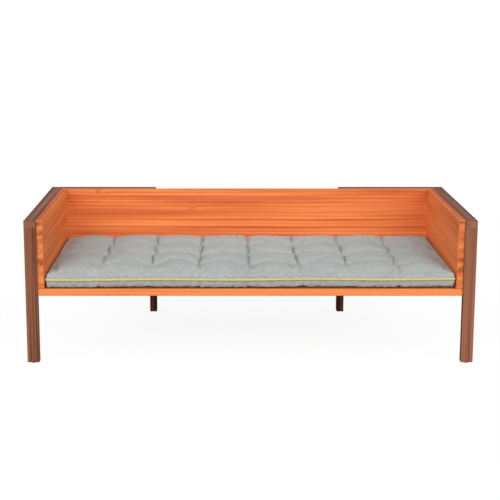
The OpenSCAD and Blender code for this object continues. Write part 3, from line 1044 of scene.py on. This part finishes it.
def inner_sheet(sheet, way):
    """The surface of the wadding under one sheet of the cover, inside every crease and in from the sides."""
    reach = np.arange(-2, 3)
    padded = np.pad(way * sheet[..., Z], 2, mode="edge")
    across, along = sheet.shape[:2]
    around = [padded[2 + i:2 + i + across, 2 + j:2 + j + along] for i in reach for j in reach]
    inner = sheet.copy()
    inner[..., Z] = way * np.max(around, axis=0) + way * WADDING_GAP
    shrunk = 1 - 2 * WADDING_GAP / np.array([HALF_LENGTH, HALF_DEPTH])
    inner[..., :2] = PAD_MIDDLE + (inner[..., :2] - PAD_MIDDLE) * shrunk
    return inner


class DOGBED_OT_filling(bpy.types.Operator):
    """Make the wadding that fills the cover, just inside the cloth."""

    bl_idname = "dogbed.filling"
    bl_label = "Filling"

    def execute(self, context):
        pad = pad_sheets(context.scene.dogbed_mattress)
        top = inner_sheet(pad["top"], -1)[::2, ::2]
        bottom = inner_sheet(pad["bottom"], 1)[::2, ::2]
        for edge in EDGES:
            bottom[edge] = top[edge] = (top[edge] + bottom[edge]) / 2
        mesh = closed_pad("filling", *join_sheets(top, bottom))
        filling = make_object("filling", mesh, wadding_material())
        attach(filling, "mattress")
        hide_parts("mattress_core")
        return {"FINISHED"}


def seam_loop(sheet):
    """The sheet's outer line of points, once round."""
    return np.concatenate([sheet[:-1, 0], sheet[-1, :-1], sheet[:0:-1, -1], sheet[0, :0:-1]])


def tube_mesh(name, path, radius, sides):
    """A closed tube round a closed path, with a UV map in metres, along and around."""
    ahead = np.roll(path, -1, axis=0) - path
    behind = path - np.roll(path, 1, axis=0)
    tangent = ahead + behind
    tangent /= np.linalg.norm(tangent, axis=1, keepdims=True)
    level = np.cross(tangent, (0, 0, 1))
    level /= np.linalg.norm(level, axis=1, keepdims=True)
    rise = np.cross(level, tangent)
    turn = 2 * math.pi * np.arange(sides) / sides
    ring = np.cos(turn)[None, :, None] * level[:, None] + np.sin(turn)[None, :, None] * rise[:, None]
    points = path[:, None] + radius * ring
    index = np.arange(len(path) * sides).reshape(len(path), sides)
    after = np.roll(index, -1, axis=0)
    faces = np.stack([index, np.roll(index, -1, axis=1), np.roll(after, -1, axis=1), after], axis=-1)
    mesh = mesh_of(name, points, faces.reshape(-1, 4))
    travelled = np.concatenate([[0], np.cumsum(np.linalg.norm(ahead, axis=1))])
    along = np.stack([travelled[:-1], travelled[:-1], travelled[1:], travelled[1:]], -1)[:, None]
    step = np.arange(sides)
    around = 2 * math.pi * radius / sides * np.stack([step, step + 1, step + 1, step], -1)[None]
    lay_cloth(mesh, np.stack([np.broadcast_to(part, faces.shape) for part in (along, around)], -1))
    return mesh


def piping_material(settings):
    """Yellow cotton cut on the bias, so that its threads run diagonally round the cord."""
    material, tree, shader = blank_material("piping_cotton")
    cloth = put(tree, "ShaderNodeUVMap", uv_map="cloth").outputs[0]
    slanted = put(tree, "ShaderNodeMapping", {"Vector": cloth, "Rotation": (0, 0, math.pi / 4)}).outputs[0]
    on_top, height = thread_pattern(tree, slanted, settings.thread_pitch)
    pucker = cloud_of(tree, cloth, (150, 60, 1), detail=2)
    under_colour = [0.82 * part for part in settings.piping_colour]
    colour = blend_of(tree, on_top, settings.piping_colour, under_colour)
    colour = blend_of(tree, sum_of(tree, "MULTIPLY", pucker, 0.35), colour, (0.86, 0.72, 0.34))
    feed(tree, shader, {"Base Color": colour, "Roughness": 0.85, "Sheen Weight": 0.15})
    relief = sum_of(tree, "MULTIPLY_ADD", pucker, 1.5, height)
    raise_surface(tree, shader, relief, 0.25 * MM)
    return material


class DOGBED_OT_piping(bpy.types.Operator):
    """Sweep the covered cord along the seam of the mattress."""

    bl_idname = "dogbed.piping"
    bl_label = "Piping"

    def execute(self, context):
        settings = context.scene.dogbed_mattress
        path = seam_loop(pad_sheets(settings)["top"])
        for _ in range(PIPING_EASING):
            path = (np.roll(path, 1, axis=0) + 2 * path + np.roll(path, -1, axis=0)) / 4
        mesh = tube_mesh("piping", path, PIPING_RADIUS, PIPING_SIDES)
        piping = make_object("piping", mesh, piping_material(settings))
        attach(piping, "mattress")
        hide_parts("mattress_piping")
        return {"FINISHED"}


def thread_material():
    """Grey tufting twine with a tight twist."""
    material, tree, shader = blank_material("tuft_thread")
    twist = cloud_of(tree, object_place(tree), (1800, 1800, 700), detail=2)
    colour = blend_of(tree, twist, (0.34, 0.36, 0.35), (0.20, 0.22, 0.21))
    feed(tree, shader, {"Base Color": colour, "Roughness": 0.8})
    raise_surface(tree, shader, twist, 0.15 * MM)
    return material


def upright_point(tree, height, x=0.0):
    """A point in a Geometry Nodes tree, at a height and a place along x."""
    return put(tree, "ShaderNodeCombineXYZ", {0: x, 2: height}).outputs[0]


def tie_tree(material):
    """Geometry Nodes: a loop of twine over the cloth and a tie through the pad at each point."""
    tree = bpy.data.node_groups.new("Tuft ties", "GeometryNodeTree")
    face = tree.interface
    face.new_socket(name="Geometry", in_out="INPUT", socket_type="NodeSocketGeometry")
    for label in ("Loop length", "Twine thickness", "Tie length"):
        face.new_socket(name=label, in_out="INPUT", socket_type="NodeSocketFloat")
    face.new_socket(name="Geometry", in_out="OUTPUT", socket_type="NodeSocketGeometry")
    given = put(tree, "NodeGroupInput").outputs
    half = sum_of(tree, "MULTIPLY", given["Loop length"], 0.5)
    lift = sum_of(tree, "MULTIPLY", given["Twine thickness"], CROWN_LIFT)
    sink = sum_of(tree, "MULTIPLY", given["Twine thickness"], -1.0)
    loop = put(tree, "GeometryNodeCurveQuadraticBezier", {
        "Resolution": 8,
        "Start": upright_point(tree, sink, sum_of(tree, "MULTIPLY", half, -1.0)),
        "Middle": upright_point(tree, lift),
        "End": upright_point(tree, sink, half),
    })
    foot = upright_point(tree, sum_of(tree, "MULTIPLY", given["Tie length"], -1.0))
    tie = put(tree, "GeometryNodeCurvePrimitiveLine", {"Start": (0, 0, 0), "End": foot})
    strand = put(tree, "GeometryNodeCurvePrimitiveCircle", {
        "Resolution": 8, "Radius": sum_of(tree, "MULTIPLY", given["Twine thickness"], 0.5)})
    both = put(tree, "GeometryNodeJoinGeometry")
    for curve in (loop.outputs[0], tie.outputs[0]):
        solid = put(tree, "GeometryNodeCurveToMesh", {
            "Curve": curve, "Profile Curve": strand.outputs[0], "Fill Caps": True})
        tree.links.new(solid.outputs[0], both.inputs[0])
    twist = put(tree, "FunctionNodeRandomValue", {2: -0.5, 3: 0.5, "Seed": 7}, data_type="FLOAT")
    turned = upright_point(tree, twist.outputs[1])
    placed = put(tree, "GeometryNodeInstanceOnPoints", {
        "Points": given["Geometry"], "Instance": both.outputs[0], "Rotation": turned})
    real = put(tree, "GeometryNodeRealizeInstances", {0: placed.outputs[0]})
    painted = put(tree, "GeometryNodeSetMaterial", {"Geometry": real.outputs[0], "Material": material})
    put(tree, "NodeGroupOutput", {"Geometry": painted.outputs[0]})
    return tree



def plain_from_nodes(name, base, tree, values):
    """Runs a Geometry Nodes tree on a base mesh and returns the result as a plain mesh."""
    carrier = bpy.data.objects.new(name + "_base", base)
    bpy.context.scene.collection.objects.link(carrier)
    modifier = carrier.modifiers.new("Nodes", "NODES")
    modifier.node_group = tree
    for item in tree.interface.items_tree:
        if item.in_out == "INPUT" and item.name in values:
            modifier[item.identifier] = values[item.name]
    carrier.update_tag()
    evaluated = carrier.evaluated_get(bpy.context.evaluated_depsgraph_get())
    mesh = bpy.data.meshes.new_from_object(evaluated)
    mesh.name = name
    carrier.modifiers.remove(modifier)
    bpy.data.objects.remove(carrier)
    return mesh


class DOGBED_OT_tuft_ties(bpy.types.Operator):
    """Tie the mattress through with twine at each tuft."""

    bl_idname = "dogbed.tuft_ties"
    bl_label = "Tuft ties"

    def execute(self, context):
        top = pad_sheets(context.scene.dogbed_mattress)["top"].reshape(-1, 3)
        places = []
        for tuft in tuft_places().reshape(-1, 2):
            nearest = np.hypot(top[:, X] - tuft[0], top[:, Y] - tuft[1]).argmin()
            places.append((*tuft, top[nearest, Z]))
        base = bpy.data.meshes.new("tuft_points")
        base.from_pydata(places, [], [])
        lowest_top = min(place[Z] for place in places)
        values = {
            "Loop length": 7 * MM,
            "Twine thickness": 1.5 * MM,
            "Tie length": lowest_top - BOARD_TOP - BOTTOM_TIE_GAP,
        }
        mesh = plain_from_nodes("tuft_ties", base, tie_tree(thread_material()), values)
        ties = make_object("tuft_ties", mesh)
        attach(ties, "mattress")
        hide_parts("tuft_stitches")
        return {"FINISHED"}


# ---------------------------------------------------------------- stage

FLOOR_REACH = 400               # so far that its edge isn't seen, in metres
SKY_STRENGTH = 0.45
SKY_LEVELS = [(0.0, 0.16), (0.02, 1.0)]         # dim below the horizon, so that shadows keep their depth
BACKDROP = (2.2, 2.2, 2.2)      # what the camera sees behind the piece: pure white
SOFT_BOX_PLACE = (2.4, -3.2, 2.0)
SOFT_BOX_SPREAD = math.radians(46)
SOFT_BOX_STRENGTH = 1.9


def soft_light(name, place, spread, strength):
    """A wide, even, distant light that shines from `place` to the origin."""
    light = bpy.data.lights.new(name, "SUN")
    light.angle = spread
    light.energy = strength
    lamp = bpy.data.objects.new(name, light)
    lamp.location = place
    lamp.rotation_euler = Vector(place).to_track_quat("Z", "Y").to_euler()
    bpy.context.scene.collection.objects.link(lamp)


def floor_piece():
    """A wide, white, glowing floor that still takes a faint shadow."""
    corners = [(-1, -1, 0), (1, -1, 0), (1, 1, 0), (-1, 1, 0)]
    mesh = mesh_of("floor", FLOOR_REACH * np.array(corners), np.arange(4)[None])
    material, tree, shader = blank_material("floor")
    feed(tree, shader, {
        "Base Color": (0.12, 0.12, 0.12, 1),
        "Emission Color": (1, 1, 1, 1),
        "Emission Strength": 0.90,
        "Roughness": 0.9,
        "Specular IOR Level": 0.1,
    })
    floor = make_object("floor", mesh, material)
    floor.visible_diffuse = False
    floor.visible_glossy = False


def studio_world():
    """An even dome of light, seen by the camera as a white backdrop."""
    world = bpy.data.worlds.new("studio")
    world.use_nodes = True
    tree = world.node_tree
    way = put(tree, "ShaderNodeTexCoord").outputs["Generated"]
    height = put(tree, "ShaderNodeSeparateXYZ", {0: way}).outputs["Z"]
    seen = put(tree, "ShaderNodeLightPath").outputs["Is Camera Ray"]
    shade = blend_of(tree, seen, steps_of(tree, height, SKY_LEVELS), BACKDROP)
    feed(tree, tree.nodes["Background"], {"Color": shade, "Strength": SKY_STRENGTH})
    return world


def stage_camera(settings):
    """The camera, placed from the front of the front legs."""
    front = min(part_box("front_leg_left")[0].y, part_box("front_leg_right")[0].y)
    lens = bpy.data.cameras.new("camera")
    lens.lens = settings.lens
    lens.shift_x = settings.shift
    camera = bpy.data.objects.new("camera", lens)
    camera.location = (settings.sideways, front - settings.distance, settings.height)
    camera.rotation_euler = (math.pi / 2 - settings.look_down, 0, 0)
    return camera


class DOGBED_OT_stage(bpy.types.Operator):
    """Set up the floor, the soft light and the camera."""

    bl_idname = "dogbed.stage"
    bl_label = "Stage"

    def execute(self, context):
        scene = context.scene
        floor_piece()
        scene.world = studio_world()
        for side in (-1, 1):
            x, y, z = SOFT_BOX_PLACE
            soft_light("soft_box", (side * x, y, z), SOFT_BOX_SPREAD, SOFT_BOX_STRENGTH)
        scene.view_settings.view_transform = "Standard"
        scene.camera = stage_camera(scene.dogbed_stage)
        scene.collection.objects.link(scene.camera)
        return {"FINISHED"}



# ---------------------------------------------------------------- panel and registration

PIECE_OPERATORS = (
    DOGBED_OT_walnut_frame,
    DOGBED_OT_pine_boards,
    DOGBED_OT_fixings,
    DOGBED_OT_cover,
    DOGBED_OT_filling,
    DOGBED_OT_piping,
    DOGBED_OT_tuft_ties,
    DOGBED_OT_stage,
)
SETTINGS = {
    "dogbed_walnut": WalnutFinish,
    "dogbed_pine": PineFinish,
    "dogbed_mattress": MattressSettings,
    "dogbed_stage": StageSettings,
}


class DOGBED_PT_panel(bpy.types.Panel):
    """Settings and pieces of the dog bed."""

    bl_idname = "DOGBED_PT_panel"
    bl_label = "Dog bed"
    bl_space_type = "VIEW_3D"
    bl_region_type = "UI"
    bl_category = "Dog bed"

    def draw(self, context):
        for holder, group in SETTINGS.items():
            box = self.layout.box()
            box.label(text=group.__doc__)
            for name in group.__annotations__:
                box.prop(getattr(context.scene, holder), name)
        for operator in PIECE_OPERATORS:
            self.layout.operator(operator.bl_idname)


def register():
    for group in SETTINGS.values():
        bpy.utils.register_class(group)
    for holder, group in SETTINGS.items():
        setattr(bpy.types.Scene, holder, PointerProperty(type=group))
    for operator in PIECE_OPERATORS:
        bpy.utils.register_class(operator)
    bpy.utils.register_class(DOGBED_PT_panel)


def unregister():
    bpy.utils.unregister_class(DOGBED_PT_panel)
    for operator in reversed(PIECE_OPERATORS):
        bpy.utils.unregister_class(operator)
    for holder, group in reversed(SETTINGS.items()):
        delattr(bpy.types.Scene, holder)
        bpy.utils.unregister_class(group)


def main():
    """Makes every piece in turn."""
    register()
    for operator in PIECE_OPERATORS:
        group, name = operator.bl_idname.split(".")
        getattr(getattr(bpy.ops, group), name)()


if __name__ == "__main__":
    main()
